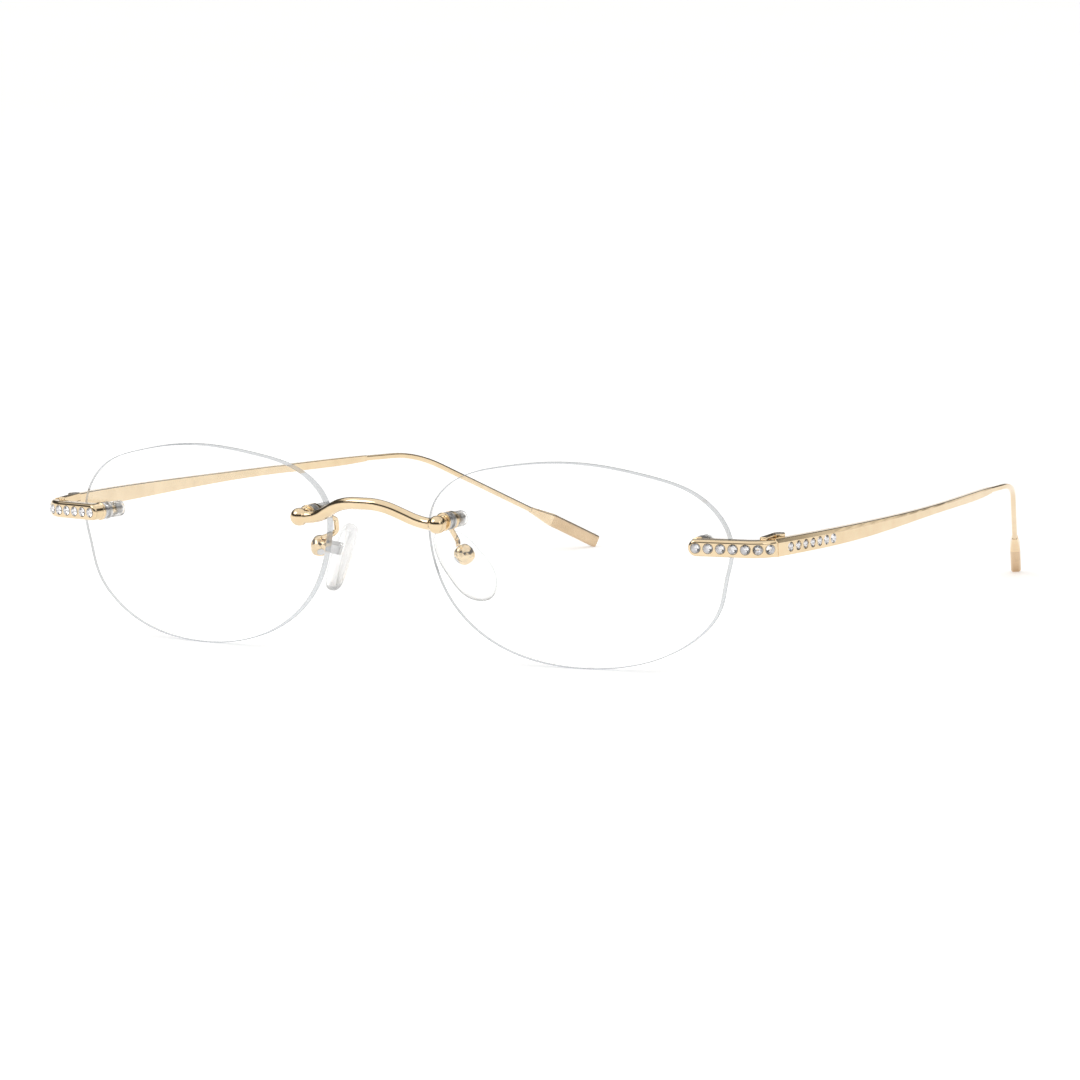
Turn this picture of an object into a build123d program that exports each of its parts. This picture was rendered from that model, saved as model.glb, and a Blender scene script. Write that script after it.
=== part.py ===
from build123d import *
import os
from math import cos, radians, sin, sqrt

# Rimless eyeglasses, in millimetres. The pieces of the wearer's left side (+X) are modelled
# with the lenses upright, and the right side mirrors them. The front faces -Y, the temples
# run back along +Y, and at the end everything is tilted to stand on the lenses and the tips.

# Stance on a table: the lenses' lower edges and the temple tips both touch z = 0, and the
# origin is below the middle of the whole object.
STANCE_TILT = 3.15
STANCE_RISE = 16.062
STANCE_FORWARD = 64.085

# Lenses.
LENS_CENTRE_X = 35.5
LENS_WRAP = 6.15
LENS_RADIUS = 140.0
LENS_CENTRE_Y = 0.25
LENS_THICKNESS = 1.35
# Outline seen from the front, from the lens centre: across (temple side positive), up.
LENS_OUTLINE = [
    (24.5, 0.0), (24.1, 6.45), (19.5, 11.3), (12.2, 13.9), (4.0, 15.4), (-4.6, 15.65),
    (-13.2, 14.65), (-21.0, 12.35), (-25.5, 7.7), (-25.7, 1.0), (-22.9, -6.1), (-17.3, -11.6),
    (-8.8, -15.15), (0.0, -16.15), (8.8, -15.3), (16.6, -12.4), (22.6, -6.7),
]
BRIDGE_HOLE = (-22.8, 5.9)
TEMPLE_HOLE = (20.3, 3.6)

# Lens mountings: a stud through a lined hole, washers, and a clear sleeve nut behind.
STUD_RADIUS = 0.6
STUD_GAP = 0.02
LENS_HOLLOW = 0.01
BUSH_RADIUS = 0.95
WASHER_RADIUS = 1.4
WASHER_THICKNESS = 0.35
FLANGE_RADIUS = 1.45
FLANGE_THICKNESS = 0.35
EYELET_THICKNESS = 0.5
SLEEVE_RADIUS = 1.25
SLEEVE_LENGTH = 2.7
INSERT_RADIUS = 0.85
INSERT_LENGTH = 1.3
INSERT_SETBACK = 0.3

# Bridge: an arched rod between two bosses, in front of the lenses.
BRIDGE_RADIUS = 0.95
BOSS_CENTRE = (12.75, -2.75, 5.8)
BOSS_RADIUS = 1.4
BOSS_FLAT = 0.08
BRIDGE_SHOULDER = (9.7, -2.3, 5.75)
BRIDGE_CREST = (3.6, -4.25, 8.75)
SHOULDER_BEND = 7.0
CREST_BEND = 9.0
STEM_RADIUS = 0.8

# Endpieces: bars set with stones, from the lens to the hinge, turning back at the outer end.
BAR_DIRECTION = (0.96, 0.28, -0.029)
BAR_STRAIGHT = 7.76
BAR_TURN = 52
BEND_RADIUS = 5.5
BAR_HEIGHT = 2.6
BAR_DEPTH = 2.0
BAR_EDGE = 0.55
STONE_RADIUS = 0.75
STONE_GIRDLE = 0.12
STONE_CROWN = 0.28
STONE_SEAT = 0.4
CROWN_TAPER = 55
STONE_COUNT = 7
STONE_PITCH = 1.94

# Hinges.
HINGE_X = 65.6
HINGE_Y = 10.2
KNUCKLE_RADIUS = 1.0
KNUCKLE_CLEARANCE = 0.08
BOTTOM_EAR = (2.05, 2.68)
TANG = (2.74, 3.74)
TOP_EAR = (3.8, 4.98)
SCREW_RADIUS = 0.45
SCREW_HEAD_RADIUS = 0.72
SCREW_HEAD_HEIGHT = 0.3
SCREW_CLEARANCE = 0.04
WEB_INNER_X = 64.6
WEB_OUTER_X = 65.75
WEB_FRONT_Y = 6.2
BUTT_GAP = 0.3

# Temples: stations (y, x, z, thickness, height) of a bar that tapers into a wire.
TEMPLE_STATIONS = [
    (6.75, 66.5, 3.3, 1.3, 2.75),
    (22.5, 67.85, 2.45, 1.3, 2.6),
    (34.0, 67.7, 1.8, 1.25, 2.3),
    (45.0, 67.0, 1.22, 1.15, 1.85),
    (68.0, 64.2, -0.1, 1.0, 1.35),
    (88.0, 60.65, -1.3, 0.95, 1.0),
]
TEMPLE_EDGE = 0.12
# The bevel along the outer top edge, as shares of the bar's height and thickness.
TEMPLE_BEVEL_HEIGHT = 0.24
TEMPLE_BEVEL_DEPTH = 0.13
TEMPLE_NOSE_RADIUS = 0.4
TEMPLE_STONE_START = 3.55
TEMPLE_STONE_DROP = 0.12
EAR_BEND_POINT = (58.45, 100.4, -2.35)
TEMPLE_END = (41.95, 132.2, -22.45)
EAR_BEND_RADIUS = 22.0
WIRE_SIZE = 0.88
WIRE_EDGE = 0.28
COLLAR_LENGTH = 4.6
TIP_LENGTH = 10.4
TIP_HEIGHT = 2.2
TIP_THICKNESS = 1.7
TIP_EDGE = 0.4

# Nose pads, on a pivot in a box at the end of a bent arm.
PAD_PIVOT = (13.4, 4.1, 0.1)
PAD_AXIS = (0.53, 0.23, -0.82)
PAD_FACING = (0.69, -0.68, 0.255)
PAD_OUTLINE = [
    (-5.1, 0.0), (-2.9, 2.5), (1.5, 3.25), (5.9, 2.75),
    (8.1, 0.0), (5.9, -2.75), (1.5, -3.25), (-2.9, -2.5),
]
PAD_TOP = -2.6
PAD_THICKNESS = 2.0
PAD_EDGE = 0.85
BOX_LENGTH = 3.4
BOX_WIDTH = 3.0
BOX_TOP = 1.3
BOX_BOTTOM = -1.1
BOX_EDGE = 0.75
SLOT_LENGTH = 2.4
SLOT_WIDTH = 1.2
SLOT_TOP = 1.0
TAB_RADIUS = 0.9
TAB_WIDTH = 1.0
TAB_FOOT = -3.2
PAD_SCREW_RADIUS = 0.35
PAD_SCREW_HEAD_RADIUS = 0.6
PAD_SCREW_HEAD_HEIGHT = 0.25
TAB_BORE_CLEARANCE = 0.05
ARM_RADIUS = 0.4
ARM_POINTS = [(11.75, 2.1, 5.35), (10.55, 2.5, 5.1), (10.75, 4.4, 4.3), (11.4, 5.5, 2.0)]
ARM_ENTRY = (-1.6, 0, 0.3)
ARM_BENDS = [0.5, 0.9, 0.9]

lens_plane = Plane(
    origin=(LENS_CENTRE_X, LENS_CENTRE_Y, 0),
    x_dir=(cos(radians(LENS_WRAP)), sin(radians(LENS_WRAP)), 0),
    z_dir=(sin(radians(LENS_WRAP)), -cos(radians(LENS_WRAP)), 0),
)


def lens_seat(across, up):
    """Plane that touches the front of the lens at a point and faces forwards."""
    depth = sqrt(LENS_RADIUS**2 - across**2 - up**2)
    point = lens_plane.from_local_coords(Vector(across, up, depth - LENS_RADIUS))
    centre = lens_plane.from_local_coords(Vector(0, 0, -LENS_RADIUS))
    return Plane(origin=point, x_dir=BAR_DIRECTION, z_dir=point - centre)


def mirrored(seat):
    """The same plane on the other side of the nose."""
    return Plane(
        origin=(-seat.origin.X, seat.origin.Y, seat.origin.Z),
        x_dir=(-seat.x_dir.X, seat.x_dir.Y, seat.x_dir.Z),
        z_dir=(-seat.z_dir.X, seat.z_dir.Y, seat.z_dir.Z),
    )


def ring(plane, outer, inner, thickness):
    """A flat ring, from the plane towards the way it faces."""
    with BuildSketch(plane) as profile:
        Circle(outer)
        Circle(inner, mode=Mode.SUBTRACT)
    extrude(profile.sketch, amount=thickness)


def upright_bore(radius, low, high, mode=Mode.SUBTRACT):
    """A cylinder on the hinge axis between two heights."""
    with BuildSketch(Plane(origin=(HINGE_X, HINGE_Y, low))) as profile:
        Circle(radius)
    extrude(profile.sketch, amount=high - low, mode=mode)


bridge_seat = lens_seat(*BRIDGE_HOLE)
temple_seat = lens_seat(*TEMPLE_HOLE)
bridge_seats = [bridge_seat, mirrored(bridge_seat)]
temple_seats = [temple_seat, mirrored(temple_seat)]
seats = bridge_seats + temple_seats
stud_bore = STUD_RADIUS + STUD_GAP
flange_back = WASHER_THICKNESS
bar_back = WASHER_THICKNESS + FLANGE_THICKNESS
washer_back = -LENS_THICKNESS - WASHER_THICKNESS
bridge_sleeve = washer_back - EYELET_THICKNESS

# --- Lenses and the hardware that holds them -----------------------------------------------

with BuildPart() as lens:
    with BuildSketch(lens_plane.offset(1)):
        with BuildLine():
            Spline(*LENS_OUTLINE, periodic=True)
        make_face()
    extrude(amount=-9)
    with Locations(lens_plane.offset(-LENS_RADIUS)):
        Sphere(LENS_RADIUS, rotation=(90, 0, 0), mode=Mode.INTERSECT)
        Sphere(LENS_RADIUS - LENS_THICKNESS, rotation=(90, 0, 0), mode=Mode.SUBTRACT)
    for seat in (bridge_seat, temple_seat):
        with BuildSketch(seat.offset(1)):
            Circle(BUSH_RADIUS)
        extrude(amount=-4, mode=Mode.SUBTRACT)

with BuildPart() as lens_bushes:
    for seat in seats:
        ring(seat.offset(-LENS_THICKNESS), BUSH_RADIUS, stud_bore, LENS_THICKNESS)

with BuildPart() as front_washers:
    for seat in seats:
        ring(seat, WASHER_RADIUS, stud_bore, WASHER_THICKNESS)

with BuildPart() as rear_washers:
    for seat in seats:
        ring(seat.offset(washer_back), WASHER_RADIUS, stud_bore, WASHER_THICKNESS - LENS_HOLLOW)

sleeve_planes = [seat.offset(bridge_sleeve) for seat in bridge_seats]
sleeve_planes += [seat.offset(washer_back) for seat in temple_seats]

with BuildPart() as sleeve_nuts:
    for plane in sleeve_planes:
        ring(plane.offset(-SLEEVE_LENGTH), SLEEVE_RADIUS, stud_bore, SLEEVE_LENGTH)
        with BuildSketch(plane.offset(-SLEEVE_LENGTH)):
            Circle(INSERT_RADIUS)
        extrude(amount=INSERT_LENGTH + INSERT_SETBACK, mode=Mode.SUBTRACT)
    rims = sleeve_nuts.edges().filter_by(GeomType.CIRCLE)
    rims = [rim for rim in rims if abs(rim.radius - SLEEVE_RADIUS) < 0.01]
    fillet(rims, 0.2)

with BuildPart() as sleeve_inserts:
    for plane in sleeve_planes:
        ring(plane.offset(INSERT_SETBACK - SLEEVE_LENGTH), INSERT_RADIUS, STUD_RADIUS, INSERT_LENGTH)

with BuildPart() as bridge_studs:
    for seat in bridge_seats:
        with BuildSketch(seat.offset(bar_back)):
            Circle(STUD_RADIUS)
        extrude(amount=bridge_sleeve + INSERT_SETBACK + 0.1 - SLEEVE_LENGTH - bar_back)

with BuildPart() as endpiece_studs:
    for seat in temple_seats:
        with BuildSketch(seat.offset(bar_back)):
            Circle(STUD_RADIUS)
        extrude(amount=washer_back + INSERT_SETBACK + 0.1 - SLEEVE_LENGTH - bar_back)

# --- Bridge --------------------------------------------------------------------------------


def other_side(point):
    """A point mirrored to the wearer's right."""
    return (-point[0], point[1], point[2])


# A boss is a ball with a small flat at each end of its sideways axis.
with BuildPart() as boss:
    Cylinder(BOSS_RADIUS, 2 * BOSS_RADIUS, rotation=(0, 90, 0))
    fillet(boss.edges().filter_by(GeomType.CIRCLE), BOSS_RADIUS - BOSS_FLAT)

with BuildPart() as bridge:
    with BuildLine() as rod_path:
        FilletPolyline(
            BOSS_CENTRE, BRIDGE_SHOULDER, BRIDGE_CREST,
            other_side(BRIDGE_CREST), other_side(BRIDGE_SHOULDER), other_side(BOSS_CENTRE),
            radius=[SHOULDER_BEND, CREST_BEND, CREST_BEND, SHOULDER_BEND],
        )
    with BuildSketch(Plane(origin=BOSS_CENTRE, z_dir=rod_path.line % 0)):
        Circle(BRIDGE_RADIUS)
    sweep()
    for seat, centre in zip(bridge_seats, (BOSS_CENTRE, other_side(BOSS_CENTRE))):
        with Locations(centre):
            add(boss.part)
        with BuildSketch(seat.offset(flange_back)):
            Circle(FLANGE_RADIUS)
        extrude(amount=FLANGE_THICKNESS)
        with BuildSketch(seat.offset(bar_back)):
            Circle(STEM_RADIUS)
        extrude(amount=1.6)
        with BuildSketch(seat):
            Circle(STUD_RADIUS)
        extrude(amount=bar_back, mode=Mode.SUBTRACT)

# --- Endpieces -----------------------------------------------------------------------------

bar_plane = Plane(origin=temple_seat.offset(bar_back).origin, x_dir=BAR_DIRECTION, z_dir=temple_seat.z_dir)
# The bar seen from above: x along it, y towards its front face.
plan = Plane(origin=bar_plane.origin, x_dir=bar_plane.x_dir, z_dir=-bar_plane.y_dir)
bend_centre = (BAR_STRAIGHT, BAR_DEPTH - BEND_RADIUS)
temple_front = TEMPLE_STATIONS[0][0]


def bar_face(along):
    """Plane on the front face of the bar, a distance along it from the stud."""
    turn = max(along - BAR_STRAIGHT, 0) / BEND_RADIUS
    across = min(along, BAR_STRAIGHT) + BEND_RADIUS * sin(turn)
    point = plan.from_local_coords(Vector(across, BAR_DEPTH - BEND_RADIUS * (1 - cos(turn)), 0))
    facing = plan.x_dir * sin(turn) + plan.y_dir * cos(turn)
    return Plane(origin=point, x_dir=plan.x_dir * cos(turn) - plan.y_dir * sin(turn), z_dir=facing)


bar_stone_planes = [bar_face(STONE_PITCH * i) for i in range(STONE_COUNT)]

with BuildPart() as endpiece:
    with BuildSketch(bar_plane):
        Circle(BAR_HEIGHT / 2)
    extrude(amount=BAR_DEPTH)
    with BuildSketch(plan):
        with BuildLine():
            front = Line((0, BAR_DEPTH), (BAR_STRAIGHT, BAR_DEPTH))
            outer = CenterArc(bend_centre, BEND_RADIUS, 90, -BAR_TURN)
            inner = CenterArc(bend_centre, BEND_RADIUS - BAR_DEPTH, 90, -BAR_TURN)
            Line(outer @ 1, inner @ 1)
            Polyline(inner @ 0, (0, 0), front @ 0)
        make_face()
    extrude(amount=BAR_HEIGHT / 2, both=True)
    front_face = endpiece.faces().sort_by(Axis(bar_plane.origin, bar_plane.z_dir))[-1]
    bend_face = [face for face in endpiece.faces().filter_by(GeomType.CYLINDER)
                 if abs(face.radius - BEND_RADIUS) < 0.01][0]
    upright = Axis(bar_plane.origin, bar_plane.y_dir)
    rim = front_face.edges() + bend_face.edges()
    fillet(rim.filter_by(upright, reverse=True), BAR_EDGE)
    # The outer end is cut square to meet the front of the temple.
    with BuildSketch(Plane.XY):
        with Locations((WEB_OUTER_X, temple_front - BUTT_GAP)):
            Rectangle(5, 5, align=(Align.MIN, Align.MIN))
    extrude(amount=8, mode=Mode.SUBTRACT)
    for low, high in (BOTTOM_EAR, TOP_EAR):
        with BuildSketch(Plane.XY.offset(low)):
            with Locations((HINGE_X, HINGE_Y)):
                Circle(KNUCKLE_RADIUS)
            with Locations((WEB_INNER_X, WEB_FRONT_Y)):
                Rectangle(WEB_OUTER_X - WEB_INNER_X, HINGE_Y - WEB_FRONT_Y, align=(Align.MIN, Align.MIN))
        extrude(amount=high - low)
    upright_bore(KNUCKLE_RADIUS + KNUCKLE_CLEARANCE, BOTTOM_EAR[1], TOP_EAR[0])
    upright_bore(SCREW_RADIUS + SCREW_CLEARANCE, 0, 8)
    upright_bore(SCREW_HEAD_RADIUS + SCREW_CLEARANCE, TOP_EAR[1] - SCREW_HEAD_HEIGHT, 8)
    for plane in bar_stone_planes:
        with BuildSketch(plane.offset(0.3)):
            Circle(STONE_RADIUS)
        extrude(amount=-STONE_SEAT - 0.3, mode=Mode.SUBTRACT)
    with BuildSketch(temple_seat.offset(flange_back)):
        Circle(FLANGE_RADIUS)
    extrude(amount=FLANGE_THICKNESS)
    with BuildSketch(temple_seat):
        Circle(STUD_RADIUS)
    extrude(amount=bar_back, mode=Mode.SUBTRACT)


def stones(planes):
    """Round stones, each with a bevelled crown over a straight girdle, seated on the planes."""
    for plane in planes:
        with BuildSketch(plane.offset(-STONE_SEAT)) as girdle:
            Circle(STONE_RADIUS)
        extrude(girdle.sketch, amount=STONE_SEAT + STONE_GIRDLE)
        with BuildSketch(plane.offset(STONE_GIRDLE)) as crown:
            Circle(STONE_RADIUS)
        extrude(crown.sketch, amount=STONE_CROWN - STONE_GIRDLE, taper=CROWN_TAPER)


with BuildPart() as endpiece_stones:
    stones(bar_stone_planes)

with BuildPart() as hinge_screw:
    upright_bore(SCREW_RADIUS, BOTTOM_EAR[0], TOP_EAR[1] - SCREW_HEAD_HEIGHT, Mode.ADD)
    upright_bore(SCREW_HEAD_RADIUS, TOP_EAR[1] - SCREW_HEAD_HEIGHT, TOP_EAR[1], Mode.ADD)
    with Locations((HINGE_X, HINGE_Y, TOP_EAR[1])):
        Box(2, 0.22, 0.3, mode=Mode.SUBTRACT)

# --- Temples -------------------------------------------------------------------------------

station_points = [Vector(x, y, z) for y, x, z, _, _ in TEMPLE_STATIONS]
bend_point = Vector(*EAR_BEND_POINT)
temple_end = Vector(*TEMPLE_END)
drop = (temple_end - bend_point).normalized()
collar_start = temple_end - drop * (COLLAR_LENGTH + TIP_LENGTH)
tip_start = temple_end - drop * TIP_LENGTH


def temple_section(index):
    """Plane across the temple at a station, with its local y axis upwards."""
    before = station_points[max(index - 1, 0)]
    after = (station_points + [bend_point])[index + 1]
    along = after - before
    if index == 0:
        along = Vector(0, 1, 0)
    return Plane(origin=station_points[index], x_dir=(-along.Y, along.X, 0), z_dir=along)


def drop_section(point):
    """Plane across the temple's drop behind the ear, with its local x axis sideways."""
    return Plane(origin=point, x_dir=(-drop.Y, drop.X, 0), z_dir=drop)


front_run = station_points[1] - station_points[0]
temple_face = Plane(
    origin=station_points[0] + Vector(TEMPLE_STATIONS[0][3] / 2, 0, 0),
    x_dir=front_run,
    z_dir=(front_run.Y, -front_run.X, 0),
)
temple_stone_planes = [
    Plane(temple_face.from_local_coords(Vector(TEMPLE_STONE_START + STONE_PITCH * i, -TEMPLE_STONE_DROP, 0)),
          temple_face.x_dir, temple_face.z_dir)
    for i in range(STONE_COUNT)
]

with BuildPart() as temple:
    for index, station in enumerate(TEMPLE_STATIONS):
        half = station[3] / 2
        top = station[4] / 2
        bevel_foot = top - TEMPLE_BEVEL_HEIGHT * station[4]
        bevel_top = TEMPLE_BEVEL_DEPTH * station[3] - half
        with BuildSketch(temple_section(index)) as section:
            with BuildLine():
                Polyline((half, -top), (half, top), (bevel_top, top), (-half, bevel_foot), (-half, -top),
                         close=True)
            make_face()
            fillet(section.vertices(), TEMPLE_EDGE)
    loft()
    # The outer front corner is rounded, so a groove shows where the temple meets the endpiece.
    with BuildSketch(Plane.XY) as corner:
        with Locations(temple_face.origin + Vector(-TEMPLE_NOSE_RADIUS, -0.1, 0)):
            Rectangle(2, TEMPLE_NOSE_RADIUS + 0.1, align=(Align.MIN, Align.MIN))
        with Locations(temple_face.origin + Vector(-TEMPLE_NOSE_RADIUS, TEMPLE_NOSE_RADIUS, 0)):
            Circle(TEMPLE_NOSE_RADIUS, mode=Mode.SUBTRACT)
    extrude(amount=8, mode=Mode.SUBTRACT)
    wire_start = station_points[-1] - (bend_point - station_points[-1]).normalized()
    with BuildLine() as wire_path:
        FilletPolyline(wire_start, bend_point, collar_start, radius=EAR_BEND_RADIUS)
    with BuildSketch(Plane(origin=wire_start, x_dir=(1, 0.18, 0), z_dir=wire_path.line % 0)):
        RectangleRounded(WIRE_SIZE, WIRE_SIZE, WIRE_EDGE)
    sweep()
    for low, high in ((0, TANG[0]), (TANG[1], 8)):
        upright_bore(KNUCKLE_RADIUS + KNUCKLE_CLEARANCE, low, high)
    upright_bore(KNUCKLE_RADIUS, *TANG, Mode.ADD)
    upright_bore(SCREW_RADIUS + SCREW_CLEARANCE, 0, 8)
    for plane in temple_stone_planes:
        with BuildSketch(plane.offset(0.3)):
            Circle(STONE_RADIUS)
        extrude(amount=-STONE_SEAT - 0.3, mode=Mode.SUBTRACT)

with BuildPart() as temple_stones:
    stones(temple_stone_planes)

with BuildPart() as tip_collar:
    with BuildSketch(drop_section(collar_start)):
        RectangleRounded(WIRE_SIZE + 0.1, WIRE_SIZE + 0.1, WIRE_EDGE)
    with BuildSketch(drop_section(tip_start)):
        RectangleRounded(TIP_THICKNESS, TIP_HEIGHT, TIP_EDGE)
    loft()

with BuildPart() as temple_tip:
    with BuildSketch(drop_section(tip_start)):
        RectangleRounded(TIP_THICKNESS, TIP_HEIGHT, TIP_EDGE)
    extrude(amount=TIP_LENGTH)
    fillet(temple_tip.faces().sort_by(Axis(tip_start, drop))[-1].edges(), 0.25)

# --- Nose pads -----------------------------------------------------------------------------

pad_plane = Plane(origin=PAD_PIVOT, x_dir=PAD_AXIS, z_dir=PAD_FACING)
pivot_plane = Plane(origin=PAD_PIVOT, x_dir=PAD_AXIS, z_dir=pad_plane.y_dir)

with BuildPart() as pad_tab:
    with BuildSketch(pivot_plane.offset(-TAB_WIDTH / 2)):
        Circle(TAB_RADIUS)
        Rectangle(2 * TAB_RADIUS, -TAB_FOOT, align=(Align.CENTER, Align.MIN))
        Circle(PAD_SCREW_RADIUS + TAB_BORE_CLEARANCE, mode=Mode.SUBTRACT)
    extrude(amount=TAB_WIDTH)

with BuildPart() as nose_pad:
    with BuildSketch(pad_plane.offset(PAD_TOP)):
        with BuildLine():
            Spline(*PAD_OUTLINE, periodic=True)
        make_face()
    extrude(amount=-PAD_THICKNESS)
    fillet(nose_pad.edges(), PAD_EDGE)
    with BuildSketch(pad_plane.offset(TAB_FOOT)):
        Rectangle(2 * TAB_RADIUS, TAB_WIDTH)
    extrude(amount=PAD_TOP - TAB_FOOT + 0.1, mode=Mode.SUBTRACT)

with BuildPart() as pad_box:
    with BuildSketch(pad_plane.offset(BOX_BOTTOM)):
        Rectangle(BOX_LENGTH, BOX_WIDTH)
    extrude(amount=BOX_TOP - BOX_BOTTOM)
    fillet(pad_box.edges(), BOX_EDGE)
    with BuildSketch(pad_plane.offset(BOX_BOTTOM)):
        Rectangle(SLOT_LENGTH, SLOT_WIDTH)
    extrude(amount=SLOT_TOP - BOX_BOTTOM, mode=Mode.SUBTRACT)
    with BuildSketch(pivot_plane.offset(-BOX_WIDTH)):
        Circle(PAD_SCREW_RADIUS)
    extrude(amount=2 * BOX_WIDTH, mode=Mode.SUBTRACT)
    with BuildSketch(pivot_plane.offset(-BOX_WIDTH / 2)):
        Circle(PAD_SCREW_HEAD_RADIUS)
    extrude(amount=PAD_SCREW_HEAD_HEIGHT, mode=Mode.SUBTRACT)

with BuildPart() as pad_screw:
    with BuildSketch(pivot_plane.offset(-BOX_WIDTH / 2)):
        Circle(PAD_SCREW_HEAD_RADIUS)
    extrude(amount=PAD_SCREW_HEAD_HEIGHT)
    with BuildSketch(pivot_plane.offset(-BOX_WIDTH / 2)):
        Circle(PAD_SCREW_RADIUS)
    extrude(amount=BOX_WIDTH)

with BuildPart() as pad_arm:
    ring(bridge_seat.offset(bridge_sleeve), FLANGE_RADIUS, stud_bore, EYELET_THICKNESS)
    with BuildLine() as arm_path:
        FilletPolyline(*ARM_POINTS, pad_plane.from_local_coords(Vector(*ARM_ENTRY)), radius=ARM_BENDS)
    with BuildSketch(Plane(origin=ARM_POINTS[0], z_dir=arm_path.line % 0)):
        Circle(ARM_RADIUS)
    sweep()
    add(pad_box.part, mode=Mode.SUBTRACT)
    with BuildSketch(bridge_seat):
        Circle(stud_bore)
    extrude(amount=-6, mode=Mode.SUBTRACT)
    with BuildSketch(sleeve_planes[0]):
        Circle(SLEEVE_RADIUS + STUD_GAP)
    extrude(amount=-SLEEVE_LENGTH, mode=Mode.SUBTRACT)

# --- Both sides, set down on the table -----------------------------------------------------

stance = Location((0, -STANCE_FORWARD, STANCE_RISE), (STANCE_TILT, 0, 0))
paired = {
    "lens": lens, "endpiece": endpiece, "endpiece_stones": endpiece_stones,
    "hinge_screw": hinge_screw, "temple": temple, "temple_stones": temple_stones,
    "tip_collar": tip_collar, "temple_tip": temple_tip, "pad_arm": pad_arm,
    "pad_box": pad_box, "pad_screw": pad_screw, "pad_tab": pad_tab, "nose_pad": nose_pad,
}
single = {
    "bridge": bridge, "bridge_studs": bridge_studs, "endpiece_studs": endpiece_studs,
    "lens_bushes": lens_bushes, "front_washers": front_washers, "rear_washers": rear_washers,
    "sleeve_nuts": sleeve_nuts, "sleeve_inserts": sleeve_inserts,
}
pieces = {name: piece.part for name, piece in single.items()}
for name, piece in paired.items():
    pieces[name + "_left"] = piece.part
    pieces[name + "_right"] = mirror(piece.part, about=Plane.YZ)

os.makedirs("parts", exist_ok=True)
for name, piece in pieces.items():
    standing = stance * piece
    standing.label = name
    export_step(standing, f"parts/{name}.step")
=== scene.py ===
"""Rimless eyeglasses: materials, finished meshes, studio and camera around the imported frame.

Lengths are in metres. +X is the wearer's left, -Y is forwards, and the glasses stand on z = 0.
"""

import math
import random

import bmesh
import bpy
import numpy as np
from mathutils import Matrix, Vector


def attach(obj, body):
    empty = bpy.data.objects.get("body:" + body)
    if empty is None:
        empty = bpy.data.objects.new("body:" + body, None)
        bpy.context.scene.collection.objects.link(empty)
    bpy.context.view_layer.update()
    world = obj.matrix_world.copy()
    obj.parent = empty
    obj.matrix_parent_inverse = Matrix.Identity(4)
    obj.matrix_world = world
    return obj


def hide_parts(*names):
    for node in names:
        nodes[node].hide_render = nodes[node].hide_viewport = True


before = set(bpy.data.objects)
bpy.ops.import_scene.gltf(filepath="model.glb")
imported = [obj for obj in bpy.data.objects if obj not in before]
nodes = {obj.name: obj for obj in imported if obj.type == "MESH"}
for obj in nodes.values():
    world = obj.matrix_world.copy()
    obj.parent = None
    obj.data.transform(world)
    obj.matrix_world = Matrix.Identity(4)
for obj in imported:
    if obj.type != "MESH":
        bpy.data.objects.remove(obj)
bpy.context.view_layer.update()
MM = 0.001
SIDES = ("left", "right")
TURN = 2 * math.pi

# --- Camera and studio ---------------------------------------------------------------------

CAMERA_PLACE = (0.5095, -0.8352, 0.1313)
CAMERA_YAW = 31.906
CAMERA_PITCH = 6.996
CAMERA_ROLL = -0.970
CAMERA_LENS = 200.0
CAMERA_SENSOR = 36.0
CAMERA_REACH = 20.0

LAMP_TARGET = (0, 0, 0.015)
KEY_LAMP = {"place": (-0.55, -0.6, 0.75), "size": 0.5, "power": 1.6}
FILL_LAMP = {"place": (0.8, -0.3, 0.5), "size": 0.4, "power": 0.6}

# The room's grey by the height of a direction, from 0 at the horizon to 1 straight up.
DARK_BAND = ((0.13, 1.0), (0.20, 0.05), (0.54, 0.06), (0.66, 1.0))
BAND_TINT = (1.0, 0.98, 0.95)

FLOOR_REACH = 6.0


def add_object(name, data):
    """A new object in the scene."""
    obj = bpy.data.objects.new(name, data)
    bpy.context.scene.collection.objects.link(obj)
    return obj


def camera():
    """A long lens from the front, on the wearer's left."""
    data = bpy.data.cameras.new("camera")
    data.lens = CAMERA_LENS
    data.sensor_width = CAMERA_SENSOR
    data.clip_end = CAMERA_REACH
    obj = add_object("camera", data)
    yaw = Matrix.Rotation(math.radians(CAMERA_YAW), 4, "Z")
    pitch = Matrix.Rotation(math.radians(90 - CAMERA_PITCH), 4, "X")
    roll = Matrix.Rotation(math.radians(CAMERA_ROLL), 4, "Z")
    obj.matrix_world = Matrix.Translation(CAMERA_PLACE) @ yaw @ pitch @ roll
    bpy.context.scene.camera = obj


def lamp(name, place, size, power):
    """A soft square lamp that faces the middle of the glasses."""
    data = bpy.data.lights.new(name, "AREA")
    data.size = size
    data.energy = power
    obj = add_object(name, data)
    obj.location = place
    aim = Vector(LAMP_TARGET) - Vector(place)
    obj.rotation_euler = aim.to_track_quat("-Z", "Y").to_euler()


def room():
    """A white room with a dark band above the horizon, which polished metal shows as dark lines."""
    world = bpy.data.worlds.new("studio")
    world.use_nodes = True
    tree = world.node_tree
    place = tree.nodes.new("ShaderNodeTexCoord")
    split = tree.nodes.new("ShaderNodeSeparateXYZ")
    ramp = tree.nodes.new("ShaderNodeValToRGB")
    tree.links.new(place.outputs["Generated"], split.inputs[0])
    tree.links.new(split.outputs["Z"], ramp.inputs[0])
    tree.links.new(ramp.outputs["Color"], tree.nodes["Background"].inputs["Color"])
    stops = ramp.color_ramp.elements
    for stop, height in zip(stops, (0.0, 1.0)):
        stop.position = height
        stop.color = (1, 1, 1, 1)
    for height, grey in DARK_BAND:
        stops.new(height).color = (*(grey * tint for tint in BAND_TINT), 1)
    bpy.context.scene.world = world


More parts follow.
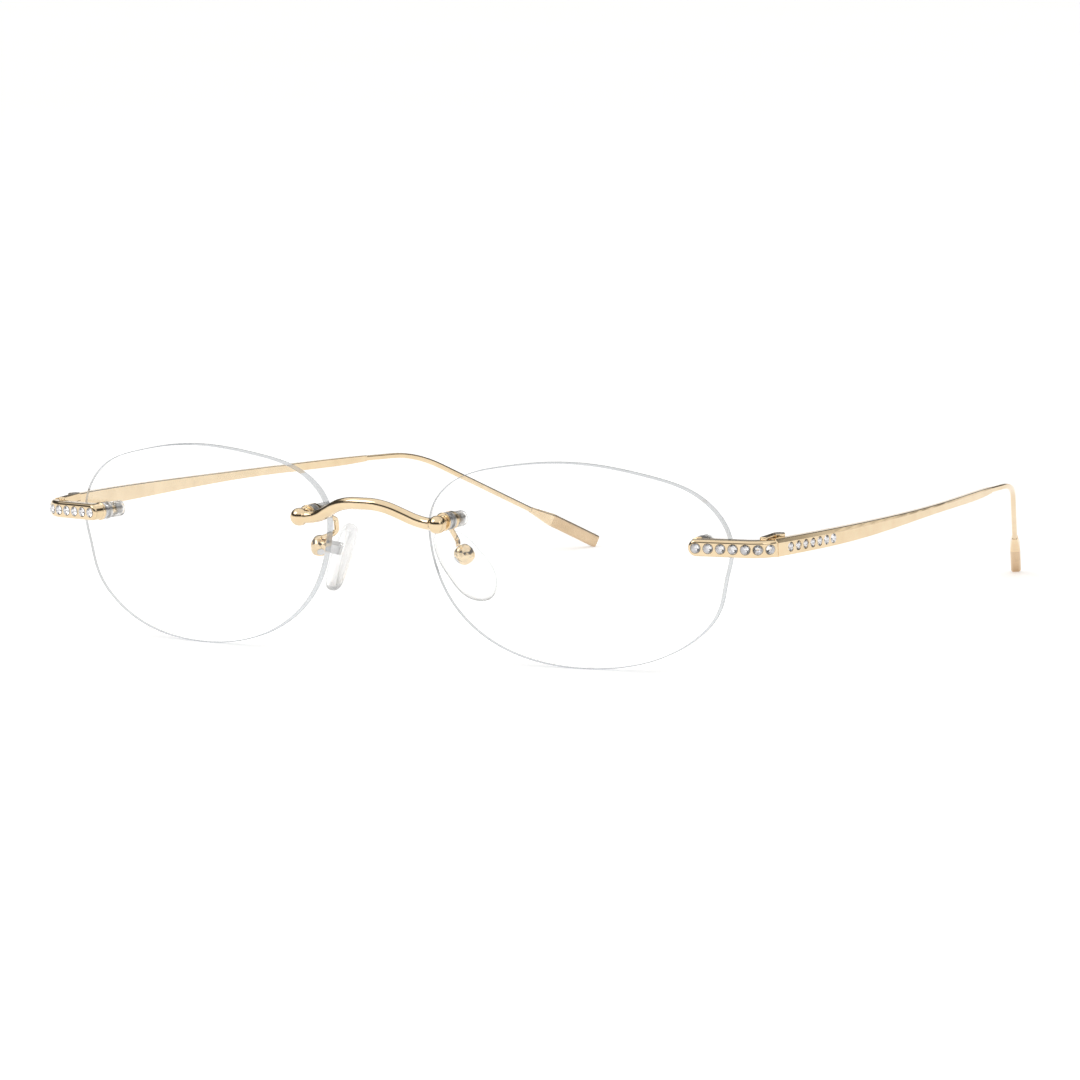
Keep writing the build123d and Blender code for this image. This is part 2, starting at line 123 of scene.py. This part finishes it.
def studio():
    """The room, the two lamps and a plain view transform."""
    room()
    lamp("key", **KEY_LAMP)
    lamp("fill", **FILL_LAMP)
    bpy.context.scene.view_settings.view_transform = "Standard"


def floor(mat):
    """A wide pale floor under the glasses."""
    mesh = bpy.data.meshes.new("floor")
    corners = [(x * FLOOR_REACH, y * FLOOR_REACH, 0) for x, y in ((-1, -1), (1, -1), (1, 1), (-1, 1))]
    mesh.from_pydata(corners, [], [(0, 1, 2, 3)])
    mesh.materials.append(mat)
    obj = add_object("floor", mesh)


# --- Building materials --------------------------------------------------------------------

# The stretches of a noise's values over which roughness and colour change.
ROUGHNESS_LOW, ROUGHNESS_HIGH = 0.3, 0.7
COLOUR_LOW, COLOUR_HIGH = 0.35, 0.65

# The darker of a clear material's two tints, as a share of the lighter one.
CLEAR_DARKER = 0.985


def principled(mat, socket):
    """An input of the material's Principled shader."""
    return mat.node_tree.nodes["Principled BSDF"].inputs[socket]


def material(name, **inputs):
    """A material with a Principled shader and these constant inputs."""
    mat = bpy.data.materials.new(name)
    mat.use_nodes = True
    for socket, value in inputs.items():
        principled(mat, socket.replace("_", " ")).default_value = value
    return mat


def add_node(mat, kind, **inputs):
    """A new shader node with these constant inputs."""
    node = mat.node_tree.nodes.new("ShaderNode" + kind)
    for socket, value in inputs.items():
        node.inputs[socket.replace("_", " ")].default_value = value
    return node


def link(mat, source, target):
    """A link from one socket to another."""
    mat.node_tree.links.new(source, target)


def noise(mat, scale, detail=3.0, stretch=(1, 1, 1)):
    """Noise over the object's own coordinates, in metres, as a socket from 0 to 1."""
    place = add_node(mat, "TexCoord")
    mapping = add_node(mat, "Mapping", Scale=stretch)
    texture = add_node(mat, "TexNoise", Scale=scale, Detail=detail)
    link(mat, place.outputs["Object"], mapping.inputs["Vector"])
    link(mat, mapping.outputs["Vector"], texture.inputs["Vector"])
    return texture.outputs["Fac"]


def colour_between(mat, factor, first, second):
    """The base colour runs from the first to the second colour with the factor."""
    ramp = add_node(mat, "ValToRGB")
    low, high = ramp.color_ramp.elements
    low.position, low.color = COLOUR_LOW, (*first, 1)
    high.position, high.color = COLOUR_HIGH, (*second, 1)
    link(mat, factor, ramp.inputs["Fac"])
    link(mat, ramp.outputs["Color"], principled(mat, "Base Color"))


def roughness_between(mat, factor, smooth, rough):
    """Roughness runs from smooth to rough with the factor."""
    span = add_node(mat, "MapRange", From_Min=ROUGHNESS_LOW, From_Max=ROUGHNESS_HIGH,
                    To_Min=smooth, To_Max=rough)
    link(mat, factor, span.inputs["Value"])
    link(mat, span.outputs["Result"], principled(mat, "Roughness"))


def bump(mat, factor, depth, strength):
    """A fine relief of this depth."""
    relief = add_node(mat, "Bump", Strength=strength, Distance=depth)
    link(mat, factor, relief.inputs["Height"])
    link(mat, relief.outputs["Normal"], principled(mat, "Normal"))


def faint_shadow(mat, share):
    """Shadow rays pass with this share of their light, so a clear piece casts a faint shadow."""
    through = add_node(mat, "BsdfTransparent", Color=(share, share, share, 1))
    path = add_node(mat, "LightPath")
    mix = add_node(mat, "MixShader")
    link(mat, path.outputs["Is Shadow Ray"], mix.inputs[0])
    link(mat, mat.node_tree.nodes["Principled BSDF"].outputs["BSDF"], mix.inputs[1])
    link(mat, through.outputs["BSDF"], mix.inputs[2])
    link(mat, mix.outputs["Shader"], mat.node_tree.nodes["Material Output"].inputs["Surface"])


def clear(name, tint, ior, smooth, rough, shadow_share, alpha=1.0):
    """A clear material. With alpha below 1 it is also partly see-through without bending light."""
    mat = material(name, Transmission_Weight=1.0, IOR=ior, Alpha=alpha)
    colour_between(mat, noise(mat, scale=120), tuple(c * CLEAR_DARKER for c in tint), tint)
    roughness_between(mat, noise(mat, scale=1800), smooth, rough)
    faint_shadow(mat, shadow_share)
    return mat


# --- The materials -------------------------------------------------------------------------


def polished_gold():
    """Bright gold with the finest of polishing marks."""
    mat = material("polished_gold", Metallic=1.0)
    colour_between(mat, noise(mat, scale=260), (0.79, 0.62, 0.40), (0.85, 0.68, 0.455))
    roughness_between(mat, noise(mat, scale=2600, detail=4), smooth=0.07, rough=0.15)
    bump(mat, noise(mat, scale=5200, detail=4), depth=0.004 * MM, strength=0.25)
    return mat


def satin_gold():
    """Darker gold, brushed."""
    mat = material("satin_gold", Metallic=1.0)
    colour_between(mat, noise(mat, scale=300), (0.64, 0.46, 0.27), (0.71, 0.52, 0.32))
    roughness_between(mat, noise(mat, scale=3000, detail=4, stretch=(1, 6, 6)), smooth=0.24, rough=0.36)
    bump(mat, noise(mat, scale=6000, stretch=(1, 8, 8)), depth=0.006 * MM, strength=0.3)
    return mat


def collar_gold():
    """Gold between polished and satin."""
    mat = material("collar_gold", Metallic=1.0)
    colour_between(mat, noise(mat, scale=300), (0.80, 0.62, 0.40), (0.86, 0.68, 0.45))
    roughness_between(mat, noise(mat, scale=3000, detail=4), smooth=0.16, rough=0.26)
    bump(mat, noise(mat, scale=5200, detail=4), depth=0.005 * MM, strength=0.25)
    return mat


def seat_gold_painted_shade():
    """Gold darkened with painted shade, for the rings around the stones."""
    mat = material("seat_gold_painted_shade", Metallic=1.0)
    colour_between(mat, noise(mat, scale=900), (0.40, 0.31, 0.20), (0.55, 0.43, 0.28))
    roughness_between(mat, noise(mat, scale=3000, detail=4), smooth=0.2, rough=0.35)
    return mat


def foil():
    """The silvery backing of a stone."""
    mat = material("foil", Metallic=1.0)
    colour_between(mat, noise(mat, scale=1500), (0.93, 0.93, 0.95), (0.99, 0.99, 0.99))
    roughness_between(mat, noise(mat, scale=4000), smooth=0.26, rough=0.42)
    return mat


def steel():
    """Satin steel."""
    mat = material("steel", Metallic=1.0)
    colour_between(mat, noise(mat, scale=700), (0.60, 0.60, 0.61), (0.72, 0.72, 0.72))
    roughness_between(mat, noise(mat, scale=5000, detail=4, stretch=(1, 1, 5)), smooth=0.26, rough=0.4)
    return mat


def lens_rim():
    """The ground edge of a lens: grey, and half see-through."""
    mat = material("lens_rim", Alpha=0.52, Specular_IOR_Level=0.3)
    colour_between(mat, noise(mat, scale=400), (0.40, 0.44, 0.48), (0.47, 0.51, 0.55))
    roughness_between(mat, noise(mat, scale=2500), smooth=0.35, rough=0.55)
    return mat


def floor_white():
    """A matt white that gives off some light of its own, so that the floor stays white."""
    mat = material("floor_white", Specular_IOR_Level=0.1, Emission_Strength=0.40, Emission_Color=(1, 1, 1, 1))
    colour_between(mat, noise(mat, scale=3, detail=2), (0.90, 0.90, 0.90), (0.92, 0.92, 0.92))
    roughness_between(mat, noise(mat, scale=40), smooth=0.7, rough=0.8)
    return mat


GOLD = polished_gold()
SATIN = satin_gold()
COLLAR = collar_gold()
# Gold darkened with painted shade, for the rings around the stones.
SEAT_PAINTED_SHADE = seat_gold_painted_shade()
FOIL = foil()
STEEL = steel()
LENS = clear("lens_clear", (0.995, 1.0, 1.0), ior=1.5, smooth=0.0, rough=0.004, shadow_share=0.96)
RIM = lens_rim()
CRYSTAL = clear("crystal_clear", (0.99, 0.99, 1.0), ior=1.5, smooth=0.0, rough=0.01, shadow_share=0.85)
PLASTIC = clear("plastic_clear", (0.985, 0.99, 0.99), ior=1.3, smooth=0.03, rough=0.08,
                shadow_share=0.9, alpha=0.7)
SILICONE = clear("silicone_clear", (0.94, 0.95, 0.955), ior=1.3, smooth=0.12, rough=0.24,
                 shadow_share=0.9, alpha=0.5)

# --- Reading the frame ---------------------------------------------------------------------

# Points that agree to this many decimals, in metres, are one point.
WELD_DECIMALS = 7


def welded(node):
    """A CAD node's points with doubles merged, and its faces over them."""
    mesh = nodes[node].data
    points, faces, seen = [], [], {}
    place = []
    for vertex in mesh.vertices:
        key = tuple(round(c, WELD_DECIMALS) for c in vertex.co)
        if key not in seen:
            seen[key] = len(points)
            points.append(vertex.co[:])
        place.append(seen[key])
    for polygon in mesh.polygons:
        corners = [place[i] for i in polygon.vertices]
        if len(set(corners)) == len(corners):
            faces.append(corners)
    return np.array(points), faces


def solids(node):
    """The points of each separate solid of a CAD node."""
    points, faces = welded(node)
    group = list(range(len(points)))

    def root(i):
        while group[i] != i:
            group[i] = group[group[i]]
            i = group[i]
        return i

    for face in faces:
        for corner in face[1:]:
            group[root(corner)] = root(face[0])
    members = {}
    for i in range(len(points)):
        members.setdefault(root(i), []).append(i)
    return [points[m] for m in members.values()]


def middle_of(points):
    """The middle of the points' box."""
    return (points.max(0) + points.min(0)) / 2


def thin_direction(points):
    """The direction in which a flat round solid is thinnest."""
    return np.linalg.svd(points - points.mean(0), full_matrices=False)[2][2]


# --- Making pieces -------------------------------------------------------------------------


def placed(centre, direction, spin=0.0):
    """A matrix that puts a shape's +Z along a direction at a point."""
    turn = Vector(direction).to_track_quat("Z", "Y").to_matrix().to_4x4()
    return Matrix.Translation(Vector(centre)) @ turn @ Matrix.Rotation(spin, 4, "Z")


def shade(obj, smooth):
    """Smooth or flat shading on every face."""
    obj.data.polygons.foreach_set("use_smooth", [smooth] * len(obj.data.polygons))


def piece(name, points, faces, materials, body, stands_for=(), slot=None, smooth=False):
    """A new mesh object that rides on a body and may stand for CAD nodes."""
    mesh = bpy.data.meshes.new(name)
    mesh.from_pydata([tuple(p) for p in points], [], faces)
    mesh.validate()
    for mat in materials:
        mesh.materials.append(mat)
    obj = add_object(name, mesh)
    shade(obj, smooth)
    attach(obj, body)
    if stands_for:
        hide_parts(*stands_for)
    return obj


def face_outwards(obj):
    """Turns every face of the object outwards."""
    bm = bmesh.new()
    bm.from_mesh(obj.data)
    bmesh.ops.recalc_face_normals(bm, faces=bm.faces)
    bm.to_mesh(obj.data)
    bm.free()


def apply_modifiers(obj):
    """The object's modifiers become its mesh."""
    graph = bpy.context.evaluated_depsgraph_get()
    mesh = bpy.data.meshes.new_from_object(obj.evaluated_get(graph))
    obj.modifiers.clear()
    old = obj.data
    obj.data = mesh
    bpy.data.meshes.remove(old)


# --- Lenses --------------------------------------------------------------------------------

LENS_STEPS = 288
LENS_ANGLES = np.linspace(-math.pi, math.pi, LENS_STEPS, endpoint=False)
LENS_RINGS = 16
RING_CROWDING = 0.8
OUTLINE_WAVES = 30
RIM_BEVEL = 0.14 * MM
SHARP_ANGLE = 25
TINY = 1e-12

# How far a CAD face's normal points forwards or backwards: less on the edge, more on both sheets.
EDGE_SLOPE = 0.5
SHEET_SLOPE = 0.8

# Edge points nearer than this to the middle of a hole belong to the hole.
HOLE_SURROUND = 2 * MM
HOLE_RADIUS = 0.95 * MM
HOLE_STEPS = 64
DRILL_LENGTH = 6 * MM


def face_normals(points, faces):
    """The unit normal of each face."""
    normals = []
    for face in faces:
        a, b, c = (points[i] for i in face[:3])
        normal = np.cross(b - a, c - a)
        normals.append(normal / max(np.linalg.norm(normal), TINY))
    return np.array(normals)


def corners_of(points, faces, chosen):
    """The corners of the chosen faces, each once."""
    return points[sorted({i for k in np.flatnonzero(chosen) for i in faces[k]})]


def fitted_sphere(points):
    """The centre and radius of the sphere that fits the points best."""
    system = np.c_[2 * points, np.ones(len(points))]
    found = np.linalg.lstsq(system, (points**2).sum(1), rcond=None)[0]
    return found[:3], math.sqrt(found[3] + found[:3] @ found[:3])


class LensShape:
    """A CAD lens, read as two spheres about one centre within one smooth outline."""

    def __init__(self, node, holes):
        points, faces = welded(node)
        normals = face_normals(points, faces)
        wall = np.abs(normals[:, 1]) < EDGE_SLOPE
        self.read_axes(normals[wall])
        slope = normals @ self.axis
        front = corners_of(points, faces, slope < -SHEET_SLOPE)
        back = corners_of(points, faces, slope > SHEET_SLOPE)
        self.centre, self.front_radius = fitted_sphere(front)
        self.back_radius = fitted_sphere(back)[1]
        edge = corners_of(points, faces, wall)
        clearance = np.min([np.linalg.norm(edge - hole, axis=1) for hole in holes], axis=0)
        self.read_outline(edge[clearance > HOLE_SURROUND])

    def read_axes(self, wall_normals):
        """The lens's own directions: backwards through it, across it and up it."""
        self.axis = np.linalg.svd(wall_normals)[2][2]
        self.axis *= np.sign(self.axis[1])
        self.across = np.cross(self.axis, (0, 0, 1))
        self.across /= np.linalg.norm(self.across)
        self.up = np.cross(self.across, self.axis)

    def read_outline(self, edge):
        """The edge's distance from its middle at even angles, without the finest waves."""
        self.middle = middle_of(edge)
        x, y = (edge - self.middle) @ self.across, (edge - self.middle) @ self.up
        angle = np.arctan2(y, x)
        order = np.argsort(angle)
        reach = np.interp(LENS_ANGLES, angle[order], np.hypot(x, y)[order], period=TURN)
        waves = np.fft.rfft(reach)
        waves[OUTLINE_WAVES:] = 0
        self.outline = np.fft.irfft(waves, LENS_STEPS)

    def ring(self, share, radius, inset=0.0, shift=0.0):
        """Points around the lens at a share of the outline, on the sphere with this radius.

        The inset pulls the outline in, and the shift moves the points backwards.
        """
        reach = (self.outline - inset) * share
        x, y = reach * np.cos(LENS_ANGLES), reach * np.sin(LENS_ANGLES)
        base = self.middle + x[:, None] * self.across + y[:, None] * self.up
        off = base - self.centre
        along = off @ self.axis
        aside = ((off - along[:, None] * self.axis) ** 2).sum(1)
        depth = -np.sqrt(radius**2 - aside) - along + shift
        return base + depth[:, None] * self.axis

    def rings(self):
        """All rings, from the middle of the front over the bevelled edge to the middle of the back."""
        shares = [(k / LENS_RINGS) ** RING_CROWDING for k in range(1, LENS_RINGS)]
        front = [self.ring(share, self.front_radius) for share in shares]
        front.append(self.ring(1, self.front_radius, inset=RIM_BEVEL))
        front.append(self.ring(1, self.front_radius, shift=RIM_BEVEL))
        back = [self.ring(1, self.back_radius, shift=-RIM_BEVEL)]
        back.append(self.ring(1, self.back_radius, inset=RIM_BEVEL))
        back += [self.ring(share, self.back_radius) for share in reversed(shares)]
        return front + back

    def mesh(self):
        """The lens's points and faces, closed at the middle of the front and of the back."""
        rings = self.rings()
        faces = bands(len(rings), LENS_STEPS)
        front_middle = len(rings) * LENS_STEPS
        back_middle = front_middle + 1
        last_ring = front_middle - LENS_STEPS
        for k in range(LENS_STEPS):
            after = (k + 1) % LENS_STEPS
            faces.append((front_middle, k, after))
            faces.append((back_middle, last_ring + after, last_ring + k))
        middles = [self.ring(0, self.front_radius)[0], self.ring(0, self.back_radius)[0]]
        return np.concatenate([*rings, middles]), faces


def bands(rows, count):
    """The faces between neighbouring closed rows of points."""
    faces = []
    for row in range(rows - 1):
        for k in range(count):
            after = (k + 1) % count
            faces.append((row * count + k, (row + 1) * count + k,
                          (row + 1) * count + after, row * count + after))
    return faces


def grind_edge(obj):
    """The lens's edge and its two bevels get the second material."""
    bevelled = range(LENS_RINGS - 1, LENS_RINGS + 2)
    for polygon in obj.data.polygons:
        if min(polygon.vertices) // LENS_STEPS in bevelled:
            polygon.material_index = 1


def lens(side):
    """A curved lens with small bevels along both edges, over the CAD lens's own outline."""
    node = "lens_" + side
    holes = [middle_of(bush) for bush in solids("lens_bushes")]
    holes = [hole for hole in holes if (hole[0] > 0) == (side == "left")]
    shape = LensShape(node, holes)
    obj = piece(node + "_finished", *shape.mesh(), [LENS, RIM], "front", (node,), "lens", True)
    face_outwards(obj)
    grind_edge(obj)
    obj.data.set_sharp_from_angle(angle=math.radians(SHARP_ANGLE))
    for hole in holes:
        drill(obj, hole, hole - shape.centre)


def drill(obj, place, direction):
    """Cuts a round hole through the object."""
    bm = bmesh.new()
    bmesh.ops.create_cone(bm, cap_ends=True, segments=HOLE_STEPS, radius1=HOLE_RADIUS,
                          radius2=HOLE_RADIUS, depth=DRILL_LENGTH, matrix=placed(place, direction))
    mesh = bpy.data.meshes.new("drill")
    bm.to_mesh(mesh)
    bm.free()
    cutter = add_object("drill", mesh)
    cut = obj.modifiers.new("hole", "BOOLEAN")
    cut.operation = "DIFFERENCE"
    cut.solver = "EXACT"
    cut.object = cutter
    apply_modifiers(obj)
    bpy.data.objects.remove(cutter)


# --- Stones --------------------------------------------------------------------------------

STONE_RADIUS = 0.72 * MM
STONE_LIFT = 0.06 * MM
MAIN_FACETS = 8
GIRDLE_STEPS = 2 * MAIN_FACETS
TABLE_SHARE = 0.56
STAR_SHARE = 0.80
STAR_RISE = 0.55
GIRDLE_HEIGHT = 0.13 * MM
GIRDLE_BAND = 0.05 * MM
TABLE_HEIGHT = 0.28 * MM
PAVILION_DEPTH = 0.36 * MM

FOIL_DEPTH = 0.39 * MM
FOIL_LIFT = 0.02 * MM

# Radius and height of the ring around a stone, in millimetres, from its outside to its inner wall.
SETTING_PROFILE = ((0.86, 0.0), (0.83, 0.03), (0.79, 0.04), (0.755, 0.02), (0.735, -0.06), (0.735, -0.2))
SETTING_STEPS = 48

# The ends of a CAD stone are the points beyond this share of its half height.
STONE_END = 0.9

SPIN_SEED = 7


def ring_points(count, radius, height, turn=0.0):
    """Points around the Z axis, turned by a share of a step."""
    angles = [TURN * (k + turn) / count for k in range(count)]
    return [(radius * math.cos(angle), radius * math.sin(angle), height) for angle in angles]


def brilliant():
    """A round brilliant: table, crown of stars, kites and halves, girdle and pavilion."""
    star_height = GIRDLE_HEIGHT + STAR_RISE * (TABLE_HEIGHT - GIRDLE_HEIGHT)
    points = ring_points(MAIN_FACETS, TABLE_SHARE * STONE_RADIUS, TABLE_HEIGHT, 0.5)
    star = len(points)
    points += ring_points(MAIN_FACETS, STAR_SHARE * STONE_RADIUS, star_height)
    girdle = len(points)
    points += ring_points(GIRDLE_STEPS, STONE_RADIUS, GIRDLE_HEIGHT)
    lower = len(points)
    points += ring_points(GIRDLE_STEPS, STONE_RADIUS, GIRDLE_HEIGHT - GIRDLE_BAND)
    culet = len(points)
    points.append((0, 0, -PAVILION_DEPTH))
    faces = [tuple(range(MAIN_FACETS))]
    for k in range(MAIN_FACETS):
        before, after = (k - 1) % MAIN_FACETS, (k + 1) % MAIN_FACETS
        left, point, right = (girdle + (2 * k + step) % GIRDLE_STEPS for step in (-1, 0, 1))
        faces.append((k, before, star + k))
        faces.append((k, star + k, right, star + after))
        faces.append((star + k, point, right))
        faces.append((star + k, left, point))
    for k in range(GIRDLE_STEPS):
        after = (k + 1) % GIRDLE_STEPS
        faces.append((girdle + k, lower + k, lower + after, girdle + after))
        faces.append((lower + k, culet, lower + after))
    return points, faces


def bowl():
    """A faceted shell just under a stone's pavilion."""
    points = ring_points(GIRDLE_STEPS, STONE_RADIUS, FOIL_LIFT) + [(0, 0, -FOIL_DEPTH)]
    faces = [(k, (k + 1) % GIRDLE_STEPS, GIRDLE_STEPS) for k in range(GIRDLE_STEPS)]
    return points, faces


def setting():
    """A ring around a stone: a small raised lip with a sloping inner wall."""
    points = []
    for radius, height in SETTING_PROFILE:
        points += ring_points(SETTING_STEPS, radius * MM, height * MM)
    return points, bands(len(SETTING_PROFILE), SETTING_STEPS)


def seats(node):
    """The middle of each CAD stone, and the direction of its narrower end, which faces outwards."""
    found = []
    for points in solids(node):
        middle, direction = middle_of(points), thin_direction(points)
        height = (points - middle) @ direction
        width = np.linalg.norm(points - middle - height[:, None] * direction, axis=1)
        top, bottom = height > STONE_END * height.max(), height < STONE_END * height.min()
        if width[top].max() > width[bottom].max():
            direction = -direction
        found.append((middle, direction))
    return found


def repeated(shape, moves):
    """The points and faces of one mesh that holds the shape at each place."""
    points, faces = shape
    all_points = [move @ Vector(p) for move in moves for p in points]
    all_faces = [tuple(n * len(points) + i for i in face) for n in range(len(moves)) for face in faces]
    return all_points, all_faces


def row_of_stones(node, body, spins):
    """Faceted stones, their foils and their settings, where the CAD stones are."""
    moves = [placed(middle + direction * STONE_LIFT, direction, spins.uniform(0, math.pi))
             for middle, direction in seats(node)]
    stones = piece(node + "_cut", *repeated(brilliant(), moves), [CRYSTAL], body, (node,), "crystal")
    foils = piece(node.replace("stones", "foils"), *repeated(bowl(), moves), [FOIL], body, (), "steel")
    # The rings around the stones carry gold darkened with painted shade.
    rings = piece(node.replace("stones", "settings"), *repeated(setting(), moves), [SEAT_PAINTED_SHADE], body,
                  (), "polished_gold", True)
    for obj in (stones, foils, rings):
        face_outwards(obj)


# --- Cast metal ----------------------------------------------------------------------------

# The size of the grid and the rounds of smoothing that blend a casting's joins.
BRIDGE_BLEND = {"voxel": 0.07 * MM, "smoothing": 22}
ENDPIECE_BLEND = {"voxel": 0.055 * MM, "smoothing": 5}
BOX_BLEND = {"voxel": 0.1 * MM, "smoothing": 8}
SMOOTHING_STEP = 0.5
BOX_ROUNDNESS = 0.7
BOX_FACETS = 0.022


def cast(node, body, voxel, smoothing):
    """A copy of a CAD node whose joins are blended, as on a cast and polished piece."""
    points, faces = welded(node)
    obj = piece(node + "_cast", points, faces, [GOLD], body, (node,), "polished_gold", True)
    remesh = obj.modifiers.new("remesh", "REMESH")
    remesh.mode = "VOXEL"
    remesh.voxel_size = voxel
    remesh.use_smooth_shade = True
    relax = obj.modifiers.new("relax", "SMOOTH")
    relax.factor = SMOOTHING_STEP
    relax.iterations = smoothing
    apply_modifiers(obj)
    shade(obj, True)
    return obj


def round_off(obj, share):
    """Moves the surface this share of the way to a ball around its middle."""
    points = np.empty(3 * len(obj.data.vertices))
    obj.data.vertices.foreach_get("co", points)
    points = points.reshape(-1, 3)
    middle = middle_of(points)
    off = points - middle
    reach = np.linalg.norm(off, axis=1)[:, None]
    off *= 1 - share + share * reach.mean() / reach
    obj.data.vertices.foreach_set("co", (middle + off).ravel())


def facet(obj, share):
    """Keeps this share of the faces, as flat facets."""
    thin = obj.modifiers.new("facets", "DECIMATE")
    thin.ratio = share
    apply_modifiers(obj)
    shade(obj, False)


# --- CAD nodes that keep their own meshes --------------------------------------------------

LOOKS = {
    "bridge_studs": GOLD, "endpiece_studs": GOLD, "lens_bushes": PLASTIC,
    "front_washers": STEEL, "rear_washers": STEEL, "sleeve_nuts": PLASTIC, "sleeve_inserts": STEEL,
}
SIDE_LOOKS = {
    "temple": GOLD, "hinge_screw": STEEL, "pad_arm": GOLD, "pad_screw": STEEL,
    "tip_collar": COLLAR, "temple_tip": SATIN, "nose_pad": SILICONE, "pad_tab": STEEL,
}


def finish_cad(node, mat):
    """A carried-over CAD node gets its material."""
    slots = nodes[node].data.materials
    for k in range(len(slots)):
        slots[k] = mat


# --- The whole scene -----------------------------------------------------------------------

camera()
studio()
floor(floor_white())

for side in SIDES:
    lens(side)

spins = random.Random(SPIN_SEED)
for side in SIDES:
    row_of_stones("endpiece_stones_" + side, "front", spins)
    row_of_stones("temple_stones_" + side, side + "_temple", spins)

cast("bridge", "front", **BRIDGE_BLEND)
for side in SIDES:
    cast("endpiece_" + side, "front", **ENDPIECE_BLEND)
    box = cast("pad_box_" + side, "front", **BOX_BLEND)
    round_off(box, BOX_ROUNDNESS)
    facet(box, BOX_FACETS)

for node, mat in LOOKS.items():
    finish_cad(node, mat)
for side in SIDES:
    for node, mat in SIDE_LOOKS.items():
        finish_cad(f"{node}_{side}", mat)
